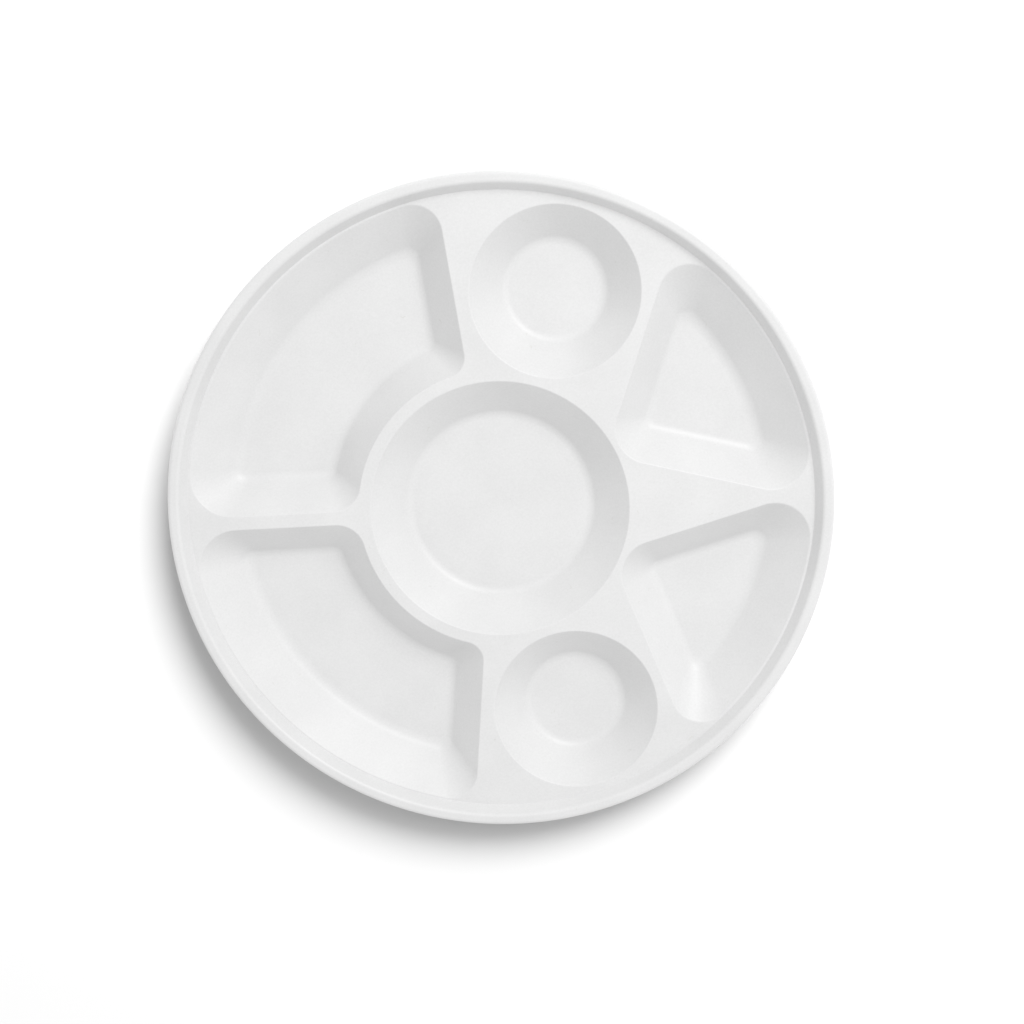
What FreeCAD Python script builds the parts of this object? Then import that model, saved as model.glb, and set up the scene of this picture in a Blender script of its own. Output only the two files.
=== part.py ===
import FreeCAD, Part
import math
import os
import Sketcher

# A round serving plate, 28 cm across, moulded in one sheet of white fibre: a raised rim round a flat
# deck, a round bowl in the middle, two round cups, two long wedge wells and two three-sided wells.
# The sheet is cut into named regions that meet face to face. X runs along the mirror line, from the
# narrow rib between the wedge wells (-X) to the pointed land between the three-sided wells (+X).
# Z is up, and the undersides of all seven wells stand on Z = 0.

os.makedirs("parts", exist_ok=True)
doc = FreeCAD.newDocument("serving_plate")
sheet = doc.addObject("Spreadsheet::Sheet", "sizes")

# Sizes that can be set one by one, in millimetres and degrees.
driving = [
    ("plate_radius", 140.0, "middle of the plate to the outer edge of the rim"),
    ("rim_band", 4.6, "flat top of the rim, measured along the radius"),
    ("rim_slope", 2.9, "how far the inner rim wall leans, measured along the radius"),
    ("rim_rise", 5.2, "top of the rim above the deck"),
    ("rim_lip", 4.4, "how far the outer lip of the rim hangs down"),
    ("rim_round", 1.8, "rounding along both edges of the rim"),
    ("wall", 1.5, "thickness of the sheet"),
    ("well_depth", 15.0, "deck down to the floor of every well"),
    ("floor_round", 5.5, "hollow rounding where a well wall meets its floor"),
    ("lip_round", 0.8, "rounding where the deck turns down into a well"),
    ("collar", 0.6, "strip of deck moulded with each well"),
    ("rim_gap", 0.8, "strip of deck between the rim and the outer wall of a well"),
    ("centre_radius", 54.7, "middle bowl at deck level"),
    ("centre_run", 15.4, "how far the middle bowl narrows towards its floor"),
    ("cup_run", 14.4, "how far a cup narrows towards its floor"),
    ("cup_rim_strip", 2.9, "strip of deck between a cup and the rim"),
    ("cup_bowl_strip", 4.1, "strip of deck between a cup and the middle bowl"),
    ("cup_turn", 72.8, "angle from the mirror line to a cup"),
    ("land", 5.8, "flat strip of deck left between the wedge wells, and between a wedge well and a cup"),
    ("ring_land", 5.1, "flat ring of deck between the middle bowl and the wedge wells"),
    ("tri_land", 4.6, "flat strip of deck between a cup and a three-sided well"),
    ("side_run", 13.5, "how far the straight and inner walls of a well lean in"),
    ("outer_run", 17.8, "how far the outer wall of a well leans in"),
    ("wedge_turn", 6.5, "lean of the wedge well's cross wall away from the Y axis"),
    ("wedge_round_rim", 17.0, "wedge corner between the rib and the rim"),
    ("wedge_round_rib", 12.0, "wedge corner between the rib and the middle bowl"),
    ("wedge_round_cup", 8.5, "wedge corner between the middle bowl and the cup"),
    ("wedge_round_top", 12.0, "wedge corner between the cup and the rim"),
    ("tri_bowl_strip", 2.6, "strip of deck between the middle bowl and a three-sided well"),
    ("tri_share", 0.596, "how far out the lower wall's line passes, as a share of the bowl's radius"),
    ("tri_round_low", 15.0, "three-sided corner that faces the middle bowl"),
    ("tri_round_tip", 15.0, "three-sided corner at the mirror line"),
    ("tri_round_top", 13.0, "three-sided corner between the cup and the rim"),
    ("floor_corner", 4.0, "corners of the well floors, seen from above"),
]

# Sizes that follow from those above.
derived = [
    ("floor_top", "=wall"),
    ("deck_top", "=wall + well_depth"),
    ("deck_under", "=deck_top - wall"),
    ("rim_top", "=deck_top + rim_rise"),
    ("rim_under", "=rim_top - wall"),
    ("lip_end", "=rim_top - rim_lip"),
    ("rim_crest", "=plate_radius - rim_band"),
    ("rim_base", "=rim_crest - rim_slope"),
    ("rim_round_in", "=max(rim_round - wall; 0.3)"),
    # Seen from above, the outside of a leaning wall stands this far out of the hollow one sheet higher up.
    # With walls near 48 degrees it leaves the wall as thick as the floor.
    ("skin", "=wall * 0.42"),
    # The outer rounding under a floor's edge follows the hollow one with the sheet between them.
    ("under_round", "=floor_round + wall * 0.6"),
    ("well_out", "=rim_base - rim_gap"),
    ("cup_radius", "=(rim_base - cup_rim_strip - centre_radius - cup_bowl_strip) / 2"),
    ("cup_ring", "=centre_radius + cup_bowl_strip + cup_radius"),
    ("tri_apart", "=centre_radius * tri_share"),
    ("cup_x", "=cup_ring * cos(cup_turn * 1 deg)"),
    ("cup_y", "=cup_ring * sin(cup_turn * 1 deg)"),
    # The lower wall of a three-sided well slopes so that its tip stays half a land from the mirror line.
    ("tip_reach", "=well_out - tri_round_tip"),
    ("tip_angle", "=asin((land / 2 + tri_round_tip) / tip_reach) / 1 deg"),
    ("tri_point", "=asin((tri_apart + tri_round_tip) / tip_reach) / 1 deg - tip_angle"),
    # Its cup wall leans so that the corner between the two keeps its strip to the middle bowl.
    ("low_reach", "=centre_radius + tri_bowl_strip + tri_round_low"),
    ("low_angle", "=asin((tri_apart + tri_round_low) / low_reach) / 1 deg - tri_point"),
    ("low_from_cup_x", "=low_reach * cos(low_angle * 1 deg) - cup_x"),
    ("low_from_cup_y", "=low_reach * sin(low_angle * 1 deg) - cup_y"),
    ("low_from_cup", "=sqrt(low_from_cup_x * low_from_cup_x + low_from_cup_y * low_from_cup_y)"),
    ("low_spread", "=acos((cup_radius + tri_land + tri_round_low) / low_from_cup) / 1 deg"),
    ("tri_turn", "=-1 * atan(low_from_cup_y / low_from_cup_x) / 1 deg - low_spread"),
]


def fill_sheet():
    row = 1
    for alias, value, note in driving:
        sheet.set("A%d" % row, alias)
        sheet.set("B%d" % row, str(value))
        sheet.set("C%d" % row, note)
        sheet.setAlias("B%d" % row, alias)
        row += 1
    for alias, formula in derived:
        sheet.set("A%d" % row, alias)
        sheet.set("B%d" % row, formula)
        sheet.setAlias("B%d" % row, alias)
        row += 1
    doc.recompute()


# Adds up (factor, name) terms: the number now, and the same sum as an expression on the sheet.
def total(*terms):
    number = 0.0
    words = []
    for factor, alias in terms:
        number += factor * float(sheet.get(alias))
        words.append("%g * sizes.%s" % (factor, alias))
    return number, " + ".join(words)


def size_of(alias):
    return float(sheet.get(alias))


def new_body(label):
    body = doc.addObject("PartDesign::Body", label)
    body.Label = label
    return body


def new_sketch(body, name, role, height=None):
    sketch = body.newObject("Sketcher::SketchObject", name)
    for item in body.Origin.OriginFeatures:
        if item.Role == role:
            sketch.AttachmentSupport = [(item, "")]
    sketch.MapMode = "FlatFace"
    if height:
        sketch.setExpression("AttachmentOffset.Base.z", "sizes." + height)
    doc.recompute()
    return sketch


# Adds one sizing constraint and ties it to its expression.
def fix(sketch, name, size, kind, *where):
    index = sketch.addConstraint(Sketcher.Constraint(kind, *where, size[0]))
    sketch.renameConstraint(index, name)
    sketch.setExpression("Constraints." + name, size[1])


# A closed section of straight sides beside the Z axis, given as (radius, height) corners.
# None stands for the axis (radius) or the ground plane (height).
def section(sketch, corners):
    count = len(corners)
    spots = []
    for across, up in corners:
        spots.append(FreeCAD.Vector(across[0] if across else 0.0, up[0] if up else 0.0, 0))
    sides = []
    for i in range(count):
        sides.append(sketch.addGeometry(Part.LineSegment(spots[i], spots[(i + 1) % count]), False))
    for i in range(count):
        across, up = corners[i]
        sketch.addConstraint(Sketcher.Constraint("Coincident", sides[i - 1], 2, sides[i], 1))
        if across:
            fix(sketch, "across%d" % i, across, "DistanceX", -1, 1, sides[i], 1)
        else:
            sketch.addConstraint(Sketcher.Constraint("PointOnObject", sides[i], 1, -2))
        if up:
            fix(sketch, "up%d" % i, up, "DistanceY", -1, 1, sides[i], 1)
        else:
            sketch.addConstraint(Sketcher.Constraint("PointOnObject", sides[i], 1, -1))


def spin(body, sketch):
    solid = body.newObject("PartDesign::Revolution", "Spin")
    solid.Profile = sketch
    solid.ReferenceAxis = (sketch, ["V_Axis"])
    solid.Angle = 360.0
    doc.recompute()


# Rounds every edge of the body's last feature that lies flat at one height.
# With within set, only the inner ring of edges at that height is taken.
def round_level(body, height, alias, within=False):
    base = body.Tip
    level = size_of(height) if height else 0.0
    picked = []
    for face in base.Shape.Faces:
        box = face.BoundBox
        if abs(box.ZMin - level) > 1e-4 or abs(box.ZMax - level) > 1e-4:
            continue
        for wire in face.Wires:
            if not within or not wire.isSame(face.OuterWire):
                picked.extend(wire.Edges)
    names = []
    for i, edge in enumerate(base.Shape.Edges):
        if any(edge.isSame(other) for other in picked):
            names.append("Edge%d" % (i + 1))
    rounding = body.newObject("PartDesign::Fillet", "Rounding")
    rounding.Base = (base, names)
    rounding.Radius = size_of(alias)
    rounding.setExpression("Radius", "sizes." + alias)
    doc.recompute()


def round_well(body):
    round_level(body, "floor_top", "floor_round")
    round_level(body, None, "under_round")
    round_level(body, "deck_top", "lip_round", within=True)


def make_rim():
    body = new_body("rim")
    sketch = new_sketch(body, "RimSection", "XZ_Plane")
    section(sketch, [
        (total((1, "rim_base")), total((1, "deck_top"))),
        (total((1, "rim_crest")), total((1, "rim_top"))),
        (total((1, "plate_radius")), total((1, "rim_top"))),
        (total((1, "plate_radius")), total((1, "lip_end"))),
        (total((1, "plate_radius"), (-1, "wall")), total((1, "lip_end"))),
        (total((1, "plate_radius"), (-1, "wall")), total((1, "rim_under"))),
        (total((1, "rim_crest"), (0.8, "wall")), total((1, "rim_under"))),
        (total((1, "rim_base"), (0.8, "wall")), total((1, "deck_under"))),
        (total((1, "rim_base")), total((1, "deck_under"))),
    ])
    spin(body, sketch)
    round_level(body, "rim_top", "rim_round")
    round_level(body, "rim_under", "rim_round_in")


# A round well: flat floor, leaning wall and its strip of deck. side is -1, 0 or 1 across the plate.
def make_round_well(label, radius, run, side):
    body = new_body(label)
    sketch = new_sketch(body, "WellSection", "XZ_Plane")
    section(sketch, [
        (None, None),
        (total((1, radius), (-1, run), (1, "skin")), None),
        (total((1, radius), (1, "skin")), total((1, "deck_under"))),
        (total((1, radius), (1, "collar")), total((1, "deck_under"))),
        (total((1, radius), (1, "collar")), total((1, "deck_top"))),
        (total((1, radius)), total((1, "deck_top"))),
        (total((1, radius), (-1, run)), total((1, "floor_top"))),
        (None, total((1, "floor_top"))),
    ])
    spin(body, sketch)
    round_well(body)
    if side:
        body.setExpression("Placement.Base.x", "sizes.cup_x")
        body.setExpression("Placement.Base.y", "%d * sizes.cup_y" % side)


# The sides of a well outline in order, each one a dictionary. lean is 0 at the deck and 1 at the floor,
# grow names how far the outline stands outside the hollow. Points inside the well lie towards inward.
def rim_side(lean, grow):
    return {"kind": "outer arc", "name": "rimArc",
            "size": total((1, "well_out"), (-lean, "outer_run"), *grow)}


def ring_side(lean, grow):
    back = [(-factor, alias) for factor, alias in grow]
    return {"kind": "inner arc", "name": "ringArc",
            "size": total((1, "centre_radius"), (1, "ring_land"), (lean, "side_run"), *back)}


def rib_side(lean, grow):
    back = [(-factor, alias) for factor, alias in grow]
    return {"kind": "line", "name": "ribLine", "turn": 180.0, "turn_text": "180", "from_cup": False,
            "hand": -1, "size": total((0.5, "land"), (lean, "side_run"), *back)}


def cup_side(turn, land, hand, lean, grow):
    back = [(-factor, alias) for factor, alias in grow]
    return {"kind": "line", "name": "cupLine", "turn": 90.0 + hand * size_of(turn),
            "turn_text": "90 + %d * sizes.%s" % (hand, turn), "from_cup": True,
            "hand": hand, "size": total((1, "cup_radius"), (1, land), (lean, "side_run"), *back)}


def point_side(lean, grow):
    back = [(-factor, alias) for factor, alias in grow]
    return {"kind": "line", "name": "pointLine", "turn": -size_of("tri_point"),
            "turn_text": "-1 * sizes.tri_point", "from_cup": False,
            "hand": 1, "size": total((1, "tri_apart"), (lean, "side_run"), *back)}


# Direction of a straight side, the direction into the well, and the point it is measured from.
def line_frame(side):
    angle = math.radians(side["turn"])
    along = FreeCAD.Vector(math.cos(angle), math.sin(angle), 0)
    inward = FreeCAD.Vector(-along.y, along.x, 0) * side["hand"]
    start = FreeCAD.Vector(0, 0, 0)
    if side["from_cup"]:
        start = FreeCAD.Vector(size_of("cup_x"), size_of("cup_y"), 0)
    return along, inward, start


# Middle of the round corner that touches both sides from inside the well.
def corner_middle(one, two, radius):
    if one["kind"] != "line":
        one, two = two, one
    along, inward, start = line_frame(one)
    base = start + inward * (one["size"][0] + radius)
    if two["kind"] == "line":
        other_along, other_inward, other_start = line_frame(two)
        goal = two["size"][0] + radius - (base - other_start).dot(other_inward)
        return base + along * (goal / along.dot(other_inward))
    reach = two["size"][0] - radius if two["kind"] == "outer arc" else two["size"][0] + radius
    middle = along.dot(base)
    square = reach * reach - base.Length * base.Length + middle * middle
    return base + along * (-middle + math.sqrt(square))


# The point of a side that the round corner touches.
def touch(side, middle):
    if side["kind"] == "line":
        along, inward, start = line_frame(side)
        off = (middle - start).dot(inward) - side["size"][0]
        return middle - inward * off
    return middle * (side["size"][0] / middle.Length)


def mirrored(point, flip):
    return FreeCAD.Vector(point.x, point.y * flip, 0)


def add_arc(sketch, first, through, last):
    return sketch.addGeometry(Part.Arc(first, through, last), False)


def near_end(sketch, geo, point):
    start = sketch.getPoint(geo, 1)
    end = sketch.getPoint(geo, 2)
    return 1 if (start - point).Length < (end - point).Length else 2


# Draws a closed outline: sides joined by round corners. rounds[i] lies between side i and side i + 1.
def outline(sketch, sides, rounds, flip, tag=""):
    count = len(sides)
    middles = []
    for i in range(count):
        middles.append(corner_middle(sides[i], sides[(i + 1) % count], rounds[i][0]))
    pieces = []
    for i, side in enumerate(sides):
        first = touch(side, middles[i - 1])
        last = touch(side, middles[i])
        pieces.append(add_side(sketch, side, first, last, flip, tag))
    for i in range(count):
        other = (i + 1) % count
        first = touch(sides[i], middles[i])
        last = touch(sides[other], middles[i])
        bulge = (first + last) * 0.5 - middles[i]
        through = middles[i] + bulge * (rounds[i][0] / bulge.Length)
        first, through, last = [mirrored(p, flip) for p in (first, through, last)]
        corner = add_arc(sketch, first, through, last)
        for piece, point in ((pieces[i], first), (pieces[other], last)):
            sketch.addConstraint(Sketcher.Constraint(
                "Tangent", piece, near_end(sketch, piece, point), corner, near_end(sketch, corner, point)))
        fix(sketch, "%scorner%d" % (tag, i), rounds[i], "Radius", corner)


# Draws one side between two points and ties down where it lies.
def add_side(sketch, side, first, last, flip, tag):
    name = tag + side["name"]
    if side["kind"] != "line":
        half = (first + last) * 0.5
        through = half * (side["size"][0] / half.Length)
        piece = add_arc(sketch, mirrored(first, flip), mirrored(through, flip), mirrored(last, flip))
        sketch.addConstraint(Sketcher.Constraint("Coincident", piece, 3, -1, 1))
        fix(sketch, name, side["size"], "Radius", piece)
        return piece
    along, _, start = line_frame(side)
    if (last - first).dot(along) < 0:
        first, last = last, first
    piece = sketch.addGeometry(Part.LineSegment(mirrored(first, flip), mirrored(last, flip)), False)
    if side["from_cup"]:
        mark = sketch.addGeometry(Part.Point(mirrored(start, flip)), True)
        fix(sketch, name + "MarkX", total((1, "cup_x")), "DistanceX", -1, 1, mark, 1)
        fix(sketch, name + "MarkY", total((flip, "cup_y")), "DistanceY", -1, 1, mark, 1)
        fix(sketch, name, side["size"], "Distance", mark, 1, piece)
    else:
        fix(sketch, name, side["size"], "Distance", -1, 1, piece)
    if side["turn"] == 180.0:
        sketch.addConstraint(Sketcher.Constraint("Horizontal", piece))
    else:
        turn = (math.radians(side["turn"]) * flip, "%d * (%s) * 1 deg" % (flip, side["turn_text"]))
        fix(sketch, name + "Turn", turn, "Angle", piece)
    return piece


def wedge_sides(lean, grow):
    cup = cup_side("wedge_turn", "land", 1, lean, grow)
    return [rib_side(lean, grow), rim_side(lean, grow), cup, ring_side(lean, grow)]


def wedge_rounds(lean, grow):
    names = ["wedge_round_rim", "wedge_round_top", "wedge_round_cup", "wedge_round_rib"]
    return [total((1, "floor_corner" if lean else name), *grow) for name in names]


def tri_sides(lean, grow):
    cup = cup_side("tri_turn", "tri_land", -1, lean, grow)
    return [point_side(lean, grow), rim_side(lean, grow), cup]


def tri_rounds(lean, grow):
    names = ["tri_round_tip", "tri_round_top", "tri_round_low"]
    return [total((1, "floor_corner" if lean else name), *grow) for name in names]


def loft(body, kind, low, high):
    solid = body.newObject("PartDesign::" + kind, kind)
    solid.Profile = low
    solid.Sections = [high]
    solid.Ruled = True
    doc.recompute()


# A well with straight and curved sides: a tub drawn between two outlines, its strip of deck, and the
# hollow drawn between two more. flip is 1 on the +Y half of the plate and -1 on the other.
def make_sided_well(label, sides, rounds, flip):
    body = new_body(label)
    levels = [
        ("TubFloor", None, 1, [(1, "skin")]),
        ("TubTop", "deck_under", 0, [(1, "skin")]),
        ("Strip", "deck_under", 0, [(1, "collar")]),
        ("HollowFloor", "floor_top", 1, []),
        ("HollowTop", "deck_top", 0, []),
    ]
    drawn = {}
    for name, height, lean, grow in levels:
        drawn[name] = new_sketch(body, name, "XY_Plane", height)
        outline(drawn[name], sides(lean, grow), rounds(lean, grow), flip)
    doc.recompute()
    loft(body, "AdditiveLoft", drawn["TubFloor"], drawn["TubTop"])
    strip = body.newObject("PartDesign::Pad", "StripPad")
    strip.Profile = drawn["Strip"]
    strip.Length = size_of("wall")
    strip.setExpression("Length", "sizes.wall")
    doc.recompute()
    loft(body, "SubtractiveLoft", drawn["HollowFloor"], drawn["HollowTop"])
    round_well(body)


# The flat deck: a disc up to the rim wall, open where the seven wells and their strips go.
def make_deck():
    body = new_body("deck")
    sketch = new_sketch(body, "DeckOutline", "XY_Plane", "deck_under")
    holes = [
        ("edge", total((1, "rim_base")), None, 0),
        ("centre", total((1, "centre_radius"), (1, "collar")), None, 0),
        ("cupFar", total((1, "cup_radius"), (1, "collar")), "cup", 1),
        ("cupNear", total((1, "cup_radius"), (1, "collar")), "cup", -1),
    ]
    for name, radius, place, side in holes:
        middle = FreeCAD.Vector(0, 0, 0)
        if place:
            middle = FreeCAD.Vector(size_of("cup_x"), side * size_of("cup_y"), 0)
        ring = sketch.addGeometry(Part.Circle(middle, FreeCAD.Vector(0, 0, 1), radius[0]), False)
        fix(sketch, name + "Radius", radius, "Radius", ring)
        if place:
            fix(sketch, name + "X", total((1, "cup_x")), "DistanceX", -1, 1, ring, 3)
            fix(sketch, name + "Y", total((side, "cup_y")), "DistanceY", -1, 1, ring, 3)
        else:
            sketch.addConstraint(Sketcher.Constraint("Coincident", ring, 3, -1, 1))
    grow = [(1, "collar")]
    for flip, end in ((1, "Far"), (-1, "Near")):
        outline(sketch, wedge_sides(0, grow), wedge_rounds(0, grow), flip, "wedge" + end)
        outline(sketch, tri_sides(0, grow), tri_rounds(0, grow), flip, "tri" + end)
    doc.recompute()
    pad = body.newObject("PartDesign::Pad", "DeckPad")
    pad.Profile = sketch
    pad.Length = size_of("wall")
    pad.setExpression("Length", "sizes.wall")
    doc.recompute()


def check_and_save():
    doc.recompute()
    for item in doc.Objects:
        if "Invalid" in item.State or "Error" in item.State:
            raise RuntimeError("%s is %s" % (item.Name, item.State))
    for body in doc.findObjects("PartDesign::Body"):
        shape = body.Shape
        if shape.isNull() or not shape.isValid() or len(shape.Solids) != 1:
            raise RuntimeError("%s has no sound solid" % body.Label)
        print("%s volume %.1f mm3" % (body.Label, shape.Volume))
        shape.exportStep("parts/%s.step" % body.Label)


fill_sheet()
make_rim()
make_deck()
make_round_well("centre_bowl", "centre_radius", "centre_run", 0)
make_round_well("cup_far", "cup_radius", "cup_run", 1)
make_round_well("cup_near", "cup_radius", "cup_run", -1)
make_sided_well("wedge_well_far", wedge_sides, wedge_rounds, 1)
make_sided_well("wedge_well_near", wedge_sides, wedge_rounds, -1)
make_sided_well("tri_well_far", tri_sides, tri_rounds, 1)
make_sided_well("tri_well_near", tri_sides, tri_rounds, -1)
check_and_save()
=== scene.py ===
import math

import bmesh
import bpy
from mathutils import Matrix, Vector


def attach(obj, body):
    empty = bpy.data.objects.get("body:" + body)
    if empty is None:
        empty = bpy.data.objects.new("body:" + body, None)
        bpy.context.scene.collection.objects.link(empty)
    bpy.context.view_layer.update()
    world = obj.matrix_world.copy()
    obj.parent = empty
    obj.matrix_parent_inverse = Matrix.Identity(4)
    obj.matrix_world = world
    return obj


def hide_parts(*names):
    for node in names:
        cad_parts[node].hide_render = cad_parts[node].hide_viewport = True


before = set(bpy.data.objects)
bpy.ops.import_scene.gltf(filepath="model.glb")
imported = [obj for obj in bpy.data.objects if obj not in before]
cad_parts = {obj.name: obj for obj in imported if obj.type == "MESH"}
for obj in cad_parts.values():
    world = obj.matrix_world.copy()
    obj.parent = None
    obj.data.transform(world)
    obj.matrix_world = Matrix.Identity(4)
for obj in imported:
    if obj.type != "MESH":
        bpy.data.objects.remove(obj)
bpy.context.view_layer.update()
print("frame loaded:", len(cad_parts), "nodes")

mm = 0.001

# one moulded sheet: heights are above the table, everything in mm
plateSizes = {
    "radius": 140.0,        # outer edge of the rim
    "rimBand": 4.6,         # flat top of the rim
    "rimSlope": 2.9,        # inner rim wall leans out by this much
    "rimRise": 5.2,         # rim above the deck
    "rimLip": 4.4,          # outer lip hangs down
    "rimRound": 1.8,        # both edges of the rim
    "rimFoot": 0.3,         # hollow where the rim wall meets the deck
    "deckTop": 16.5,
    "wellDepth": 15.0,
    "sheet": 1.5,           # wall thickness
    "lipRound": 0.8,        # deck turning down into a well
    "floorRound": 5.5,      # well wall turning into its floor
    "rimSteps": 384,        # points round the rim
    "wellSteps": 224,       # points round a round well
    "lineSteps": 14,        # points along a straight side of a well
    "sideArcSteps": 56,     # points along a curved side of a well
    "cornerSteps": 16,      # points round a corner of a well
    "arcSteps": 7,          # points across each small rounding
}

wellSizes = {
    "centreRadius": 54.7,
    "centreRun": 15.4,      # how far the wall leans in on its way down
    "cupRadius": 35.4,
    "cupRun": 14.4,
    "cupRing": 94.2,        # middle of the plate to the middle of a cup
    "cupTurn": 72.8,        # degrees from the mirror line
    "land": 5.8,            # deck left between neighbours
    "ringLand": 5.1,
    "triLand": 4.6,
    "sideRun": 13.5,
    "outerRun": 17.8,
    "rimGap": 0.8,
    "wedgeTurn": 6.5,
    "wedgeCorners": (17.0, 12.0, 8.5, 12.0),
    "triTurn": 20.15,
    "triPoint": 15.25,
    "triApart": 32.6,
    "triCorners": (15.0, 13.0, 15.0),
    "floorCorner": 4.0,
    "tightestCorner": 0.8,  # no corner gets smaller than this past the floor's edge
}


def onCircle(radius, degrees):
    angle = math.radians(degrees)
    return Vector((radius * math.cos(angle), radius * math.sin(angle)))


cupCentre = onCircle(wellSizes["cupRing"], wellSizes["cupTurn"])


def line(degrees, hand, start, gap, run):
    along = onCircle(1.0, degrees)
    return {"kind": "line", "along": along, "inward": Vector((-along.y, along.x)) * hand,
            "start": start, "size": gap, "run": run}


def rimArc():
    rimBase = plateSizes["radius"] - plateSizes["rimBand"] - plateSizes["rimSlope"]
    return {"kind": "outer", "size": rimBase - wellSizes["rimGap"], "run": -wellSizes["outerRun"]}


def wedgeSides():
    w = wellSizes
    return [
        line(180.0, -1, Vector((0, 0)), w["land"] / 2, w["sideRun"]),
        rimArc(),
        line(90.0 + w["wedgeTurn"], 1, cupCentre, w["cupRadius"] + w["land"], w["sideRun"]),
        {"kind": "inner", "size": w["centreRadius"] + w["ringLand"], "run": w["sideRun"]},
    ]


def triSides():
    w = wellSizes
    return [
        line(-w["triPoint"], 1, Vector((0, 0)), w["triApart"], w["sideRun"]),
        rimArc(),
        line(90.0 - w["triTurn"], -1, cupCentre, w["cupRadius"] + w["triLand"], w["sideRun"]),
    ]


# middle of the round corner between two sides, with the well drawn in by lean (0 deck, 1 floor)
def cornerCentre(one, two, radius, lean):
    if one["kind"] != "line":
        one, two = two, one
    base = one["start"] + one["inward"] * (one["size"] + one["run"] * lean + radius)
    reach = two["size"] + two["run"] * lean
    if two["kind"] == "line":
        goal = reach + radius - (base - two["start"]).dot(two["inward"])
        return base + one["along"] * (goal / one["along"].dot(two["inward"]))
    reach += -radius if two["kind"] == "outer" else radius
    middle = one["along"].dot(base)
    return base + one["along"] * (-middle + math.sqrt(reach ** 2 - base.length_squared + middle ** 2))


def touchPoint(side, centre, lean):
    size = side["size"] + side["run"] * lean
    if side["kind"] == "line":
        return centre - side["inward"] * ((centre - side["start"]).dot(side["inward"]) - size)
    return centre * (size / centre.length)


# points from first towards last round a centre, the short way, without last
def arcPoints(centre, first, last, count):
    start = math.atan2(first.y - centre.y, first.x - centre.x)
    turn = math.atan2(last.y - centre.y, last.x - centre.x) - start
    turn = (turn + math.pi) % (2 * math.pi) - math.pi
    radius = (first - centre).length
    return [centre + Vector((math.cos(start + turn * k / count), math.sin(start + turn * k / count))) * radius
            for k in range(count)]


# one closed ring of a sided well; every lean gives the same number of points
def sidedRing(sides, corners, lean):
    radii = [max(wellSizes["tightestCorner"], c + (wellSizes["floorCorner"] - c) * lean) for c in corners]
    centres = [cornerCentre(sides[i], sides[(i + 1) % len(sides)], radii[i], lean) for i in range(len(sides))]
    ring = []
    for i, side in enumerate(sides):
        first = touchPoint(side, centres[i - 1], lean)
        last = touchPoint(side, centres[i], lean)
        if side["kind"] == "line":
            count = plateSizes["lineSteps"]
            ring += [first.lerp(last, k / count) for k in range(count)]
        else:
            ring += arcPoints(Vector((0, 0)), first, last, plateSizes["sideArcSteps"])
        turnEnd = touchPoint(sides[(i + 1) % len(sides)], centres[i], lean)
        ring += arcPoints(centres[i], last, turnEnd, plateSizes["cornerSteps"])
    return ring


def roundRing(centre, radius, count):
    return [centre + onCircle(radius, 360.0 * k / count) for k in range(count)]


# (across, height) points round part of a circle, from one angle off the vertical to another
def rounding(across, up, radius, first, last):
    steps = plateSizes["arcSteps"]
    angles = [first + (last - first) * k / steps for k in range(steps + 1)]
    return [(across + radius * math.sin(a), up + radius * math.cos(a)) for a in angles]


# (distance in from the deck edge, height) down one well wall: lip rounding, wall, floor rounding
def wallProfile(run):
    p = plateSizes
    slope = math.atan2(p["wellDepth"], run)
    lip, floor = p["lipRound"], p["floorRound"]
    lipBack = lip * math.tan(slope / 2)
    floorIn = floor * math.tan(slope / 2)
    return (rounding(-lipBack, p["deckTop"] - lip, lip, 0, slope)
            + rounding(run + floorIn, p["sheet"] + floor, -floor, slope, 0))


# every well as its stack of rings from the deck down, each ring a list of 3-D points
def wellStacks():
    w = wellSizes
    nearCentre = Vector((cupCentre.x, -cupCentre.y))
    roundWells = ((Vector((0, 0)), w["centreRadius"], w["centreRun"]),
                  (cupCentre, w["cupRadius"], w["cupRun"]), (nearCentre, w["cupRadius"], w["cupRun"]))
    stacks = []
    for centre, radius, run in roundWells:
        stack = []
        for inset, z in wallProfile(run):
            ring = roundRing(centre, radius - inset, plateSizes["wellSteps"])
            stack.append([Vector((q.x, q.y, z)) for q in ring])
        stacks.append(stack)
    for sides, corners in ((wedgeSides(), w["wedgeCorners"]), (triSides(), w["triCorners"])):
        for flip in (1, -1):
            stack = []
            for inset, z in wallProfile(w["sideRun"]):
                ring = sidedRing(sides, corners, inset / w["sideRun"])
                stack.append([Vector((q.x, q.y * flip, z)) for q in ring])
            stacks.append(stack)
    return stacks


# (radius, height) up the inner rim wall, over the rim and down its outer lip
def rimProfile():
    p = plateSizes
    crest = p["radius"] - p["rimBand"]
    base = crest - p["rimSlope"]
    top = p["deckTop"] + p["rimRise"]
    slope = math.atan2(p["rimRise"], p["rimSlope"])
    foot, edge = p["rimFoot"], p["rimRound"]
    profile = rounding(base - foot * math.tan(slope / 2), p["deckTop"] + foot, foot, math.pi, math.pi - slope)
    profile += rounding(crest + edge * math.tan(slope / 2), top - edge, edge, -slope, 0)
    profile += rounding(p["radius"] - edge, top - edge, edge, 0, math.pi / 2)
    profile.append((p["radius"], top - p["rimLip"]))
    return profile


def skin(bm, lower, upper):
    count = len(lower)
    for k in range(count):
        bm.faces.new((lower[k], lower[(k + 1) % count], upper[(k + 1) % count], upper[k]))


def ringEdges(bm, ring):
    edges = []
    for k in range(len(ring)):
        pair = (ring[k], ring[(k + 1) % len(ring)])
        edges.append(bm.edges.get(pair) or bm.edges.new(pair))
    return edges


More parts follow.
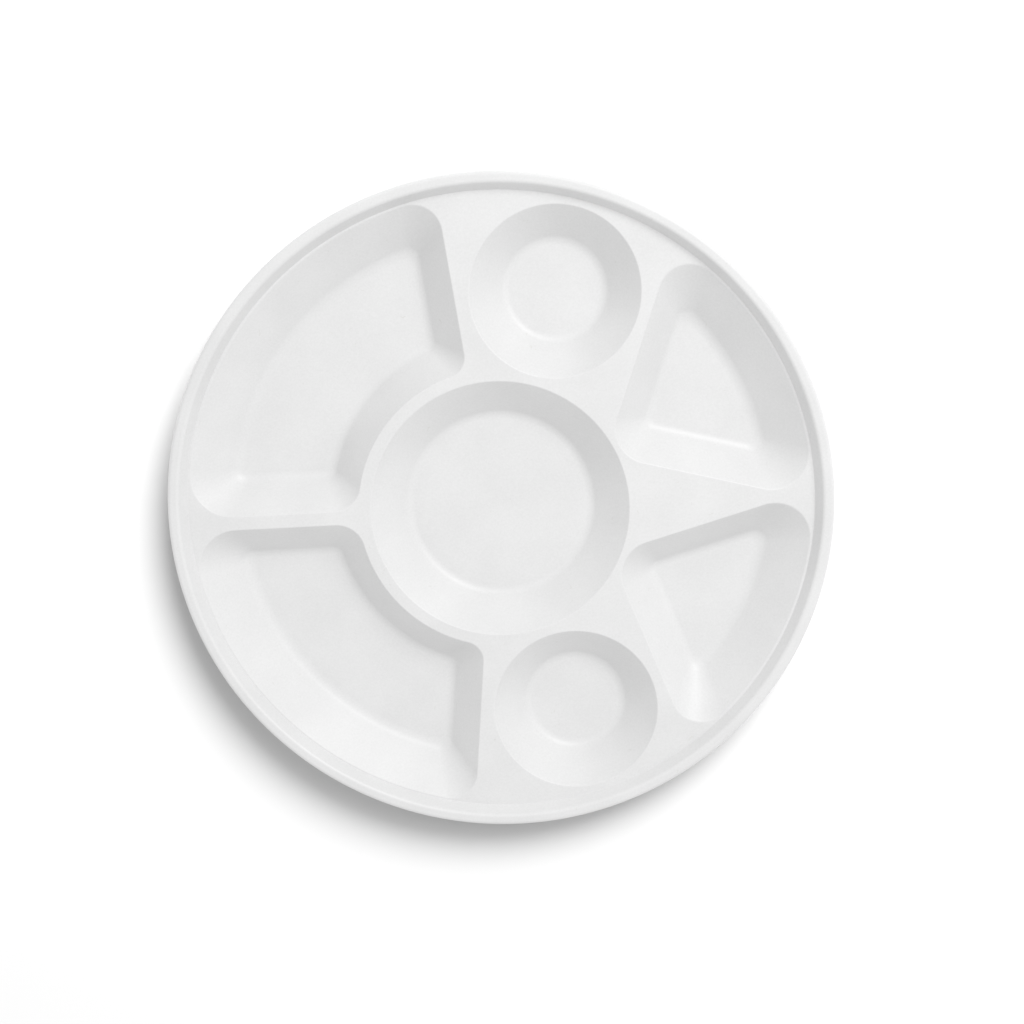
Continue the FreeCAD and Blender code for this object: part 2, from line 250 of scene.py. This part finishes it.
def buildPlate():
    bm = bmesh.new()
    deckEdges = []
    for stack in wellStacks():
        rings = [[bm.verts.new(q * mm) for q in ring] for ring in stack]
        for above, below in zip(rings, rings[1:]):
            skin(bm, above, below)
        deckEdges += ringEdges(bm, rings[0])
        bmesh.ops.triangle_fill(bm, use_beauty=True, edges=ringEdges(bm, rings[-1]), normal=(0, 0, 1))
    rings = []
    for radius, z in rimProfile():
        rings.append([bm.verts.new(Vector((q.x, q.y, z)) * mm)
                      for q in roundRing(Vector((0, 0)), radius, plateSizes["rimSteps"])])
    for inner, outer in zip(rings, rings[1:]):
        skin(bm, inner, outer)
    deckEdges += ringEdges(bm, rings[0])
    bmesh.ops.triangle_fill(bm, use_beauty=True, edges=deckEdges, normal=(0, 0, 1))
    bmesh.ops.recalc_face_normals(bm, faces=bm.faces)
    flat = max(bm.faces, key=lambda f: f.calc_area())
    if flat.normal.z < 0:
        bmesh.ops.reverse_faces(bm, faces=bm.faces)
    for face in bm.faces:
        face.smooth = True
    mesh = bpy.data.meshes.new("servingPlate")
    bm.to_mesh(mesh)
    bm.free()
    plate = bpy.data.objects.new("servingPlate", mesh)
    bpy.context.scene.collection.objects.link(plate)
    thicken = plate.modifiers.new("sheetThickness", "SOLIDIFY")
    thicken.thickness = plateSizes["sheet"] * mm
    thicken.offset = -1.0
    thicken.use_even_offset = True
    thicken.use_quality_normals = True
    level = plate.modifiers.new("flatFacesLead", "WEIGHTED_NORMAL")
    level.mode = "FACE_AREA"
    level.keep_sharp = False
    return plate


def hexColour(code):
    values = [int(code[k:k + 2], 16) / 255 for k in (1, 3, 5)]
    return tuple(v / 12.92 if v <= 0.04045 else ((v + 0.055) / 1.055) ** 2.4 for v in values) + (1.0,)


def addNode(tree, kind, settings=None, inputs=None, links=None):
    node = tree.nodes.new(kind)
    for name, value in (settings or {}).items():
        setattr(node, name, value)
    for name, value in (inputs or {}).items():
        node.inputs[name].default_value = value
    for name, source in (links or {}).items():
        tree.links.new(source, node.inputs[name])
    return node


# bleached sugarcane fibre, pulp moulded and hot pressed: off-white with a low sheen that catches on the
# rounded edges, a very fine felted grain, a faint cloudiness where the pulp lay thicker, and the mark of
# the wire mesh underneath
fibreFinish = {
    "light": "#E3E3E3",
    "dark": "#DCDCDC",
    "fleck": "#CFCECA",
    "grainMm": 0.9,         # fibre bundles are nearer 0.3 mm, drawn coarser so that they show
    "grainDetail": 3.0,
    "grainHardness": 0.6,
    "cloudMm": 26.0,
    "cloudShare": 0.45,     # of the tone; the rest is grain
    "fleckMm": 2.6,
    "fleckTwist": 1.6,
    "softDetail": 2.0,      # detail of clouds and flecks
    "toneSpan": (0.35, 0.65),
    "fleckSpan": (0.70, 0.80),
    "fleckStrength": 0.5,
    "meshMm": 1.3,          # wire pitch is nearer 0.6 mm, drawn coarser so that it shows
    "grainDepth": 0.010,
    "waveDepth": 0.04,
    "ior": 1.48,            # cellulose
    "gloss": 0.42,          # pores break up the gloss, so it is under the usual 0.5
    "smoothest": 0.32,      # roughness where the press met the fibre hardest
    "roughest": 0.44,
    "meshDepth": 0.03,
    "meshSpan": (-0.2, -0.6),   # how far down a face looks before the mesh marks it
}


def fibreMaterial():
    f = fibreFinish
    material = bpy.data.materials.new("hotPressedBagasse")
    material.use_nodes = True
    tree = material.node_tree
    tree.nodes.clear()
    where = addNode(tree, "ShaderNodeTexCoord")
    place = where.outputs["Object"]
    grain = addNode(tree, "ShaderNodeTexNoise", {}, {
        "Scale": 1 / (f["grainMm"] * mm), "Detail": f["grainDetail"], "Roughness": f["grainHardness"]},
        {"Vector": place})
    cloud = addNode(tree, "ShaderNodeTexNoise", {}, {
        "Scale": 1 / (f["cloudMm"] * mm), "Detail": f["softDetail"]}, {"Vector": place})
    fleck = addNode(tree, "ShaderNodeTexNoise", {}, {
        "Scale": 1 / (f["fleckMm"] * mm), "Detail": f["softDetail"], "Distortion": f["fleckTwist"]},
        {"Vector": place})
    both = addNode(tree, "ShaderNodeMix", {"data_type": "FLOAT"}, {"Factor": f["cloudShare"]},
                   {"A": grain.outputs["Fac"], "B": cloud.outputs["Fac"]})
    tone = addNode(tree, "ShaderNodeValToRGB", {}, {}, {"Fac": both.outputs["Result"]})
    for stop, position, code in zip(tone.color_ramp.elements, f["toneSpan"], (f["dark"], f["light"])):
        stop.position = position
        stop.color = hexColour(code)
    speck = addNode(tree, "ShaderNodeMapRange", {}, {
        "From Min": f["fleckSpan"][0], "From Max": f["fleckSpan"][1], "To Max": f["fleckStrength"]},
        {"Value": fleck.outputs["Fac"]})
    colour = addNode(tree, "ShaderNodeMix", {"data_type": "RGBA"}, {"B": hexColour(f["fleck"])},
                     {"Factor": speck.outputs["Result"], "A": tone.outputs["Color"]})
    rough = addNode(tree, "ShaderNodeMapRange", {}, {"To Min": f["smoothest"], "To Max": f["roughest"]},
                    {"Value": grain.outputs["Fac"]})
    wave = addNode(tree, "ShaderNodeBump", {}, {"Distance": f["waveDepth"] * mm},
                   {"Height": cloud.outputs["Fac"]})
    felt = addNode(tree, "ShaderNodeBump", {}, {"Distance": f["grainDepth"] * mm},
                   {"Height": grain.outputs["Fac"], "Normal": wave.outputs["Normal"]})
    # the wire mesh only marks the underside: two crossed waves, masked to faces that look down
    meshScale = math.pi / (10 * f["meshMm"] * mm)   # a wave texture repeats every pi / 10 at scale 1
    wires = [addNode(tree, "ShaderNodeTexWave", {"bands_direction": way}, {"Scale": meshScale},
                     {"Vector": place}) for way in ("X", "Y")]
    weave = addNode(tree, "ShaderNodeMath", {"operation": "MAXIMUM"})
    for socket, wire in zip(weave.inputs, wires):
        tree.links.new(wire.outputs["Fac"], socket)
    facing = addNode(tree, "ShaderNodeSeparateXYZ", {}, {}, {"Vector": where.outputs["Normal"]})
    under = addNode(tree, "ShaderNodeMapRange", {}, {
        "From Min": f["meshSpan"][0], "From Max": f["meshSpan"][1]}, {"Value": facing.outputs["Z"]})
    mark = addNode(tree, "ShaderNodeBump", {}, {"Distance": f["meshDepth"] * mm},
                   {"Strength": under.outputs["Result"], "Height": weave.outputs["Value"],
                    "Normal": felt.outputs["Normal"]})
    shader = addNode(tree, "ShaderNodeBsdfPrincipled", {}, {
        "IOR": f["ior"], "Specular IOR Level": f["gloss"]}, {
        "Base Color": colour.outputs["Result"], "Roughness": rough.outputs["Result"],
        "Normal": mark.outputs["Normal"]})
    addNode(tree, "ShaderNodeOutputMaterial", {}, {}, {"Surface": shader.outputs["BSDF"]})
    return material


# seamless studio paper: flat and soft with no gloss, a pale grey that its own panel lifts to white
def backdropMaterial():
    material = bpy.data.materials.new("mattPaleGreyPaper")
    material.use_nodes = True
    shader = material.node_tree.nodes["Principled BSDF"]
    shader.inputs["Base Color"].default_value = hexColour(studio["paper"])
    shader.inputs["Roughness"].default_value = studio["paperRoughness"]
    return material


studio = {
    "skyStrength": 0.79,
    "panels": (             # name, power in W, width, place, lights the paper only
        ("keyPanel", 8.1, 0.8, (0.550, 0.655, 1.019), False),
        ("paperPanel", 118.0, 1.5, (0.99, 1.86, 1.77), True),
    ),
    "paper": "#C6C6C6",
    "paperRoughness": 0.9,
    "floorSize": 30.0,
    "floorGap": 0.0002,     # floor just under the plate, so the two never share a plane
    "cameraPlace": (0.02545, 0.12725, 0.63081),
    "cameraTurn": (-11.875, 1.222, -3.239),
    "lens": 52.25,
    "sensor": 36.0,
}


def buildStudio():
    scene = bpy.context.scene
    scene.view_settings.view_transform = "Standard"
    half = studio["floorSize"] / 2
    mesh = bpy.data.meshes.new("floorSheet")
    corners = [(-half, -half, 0), (half, -half, 0), (half, half, 0), (-half, half, 0)]
    mesh.from_pydata(corners, [], [(0, 1, 2, 3)])
    floor = bpy.data.objects.new("floorSheet", mesh)
    mesh.materials.append(backdropMaterial())
    floor.location.z = -studio["floorGap"]
    scene.collection.objects.link(floor)
    world = bpy.data.worlds.new("softRoom")
    scene.world = world
    world.use_nodes = True
    world.node_tree.nodes["Background"].inputs["Color"].default_value = (1.0, 1.0, 1.0, 1.0)
    world.node_tree.nodes["Background"].inputs["Strength"].default_value = studio["skyStrength"]
    paperOnly = bpy.data.collections.new("paperOnly")
    paperOnly.objects.link(floor)
    for name, power, width, place, onlyPaper in studio["panels"]:
        lamp = bpy.data.lights.new(name, "AREA")
        lamp.shape = "DISK"
        lamp.size = width
        lamp.energy = power
        panel = bpy.data.objects.new(name, lamp)
        panel.location = place
        panel.rotation_euler = (-Vector(place)).to_track_quat("-Z", "Y").to_euler()
        scene.collection.objects.link(panel)
        if onlyPaper:
            panel.light_linking.receiver_collection = paperOnly
    lensData = bpy.data.cameras.new("studioCamera")
    lensData.lens = studio["lens"]
    lensData.sensor_width = studio["sensor"]
    lensData.dof.use_dof = False
    camera = bpy.data.objects.new("studioCamera", lensData)
    camera.location = studio["cameraPlace"]
    camera.rotation_euler = [math.radians(a) for a in studio["cameraTurn"]]
    scene.collection.objects.link(camera)
    scene.camera = camera


plate = buildPlate()
plate.data.materials.append(fibreMaterial())
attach(plate, "root")
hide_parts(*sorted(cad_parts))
print("plate moulded:", len(plate.data.polygons), "faces")

buildStudio()
print("studio lit")
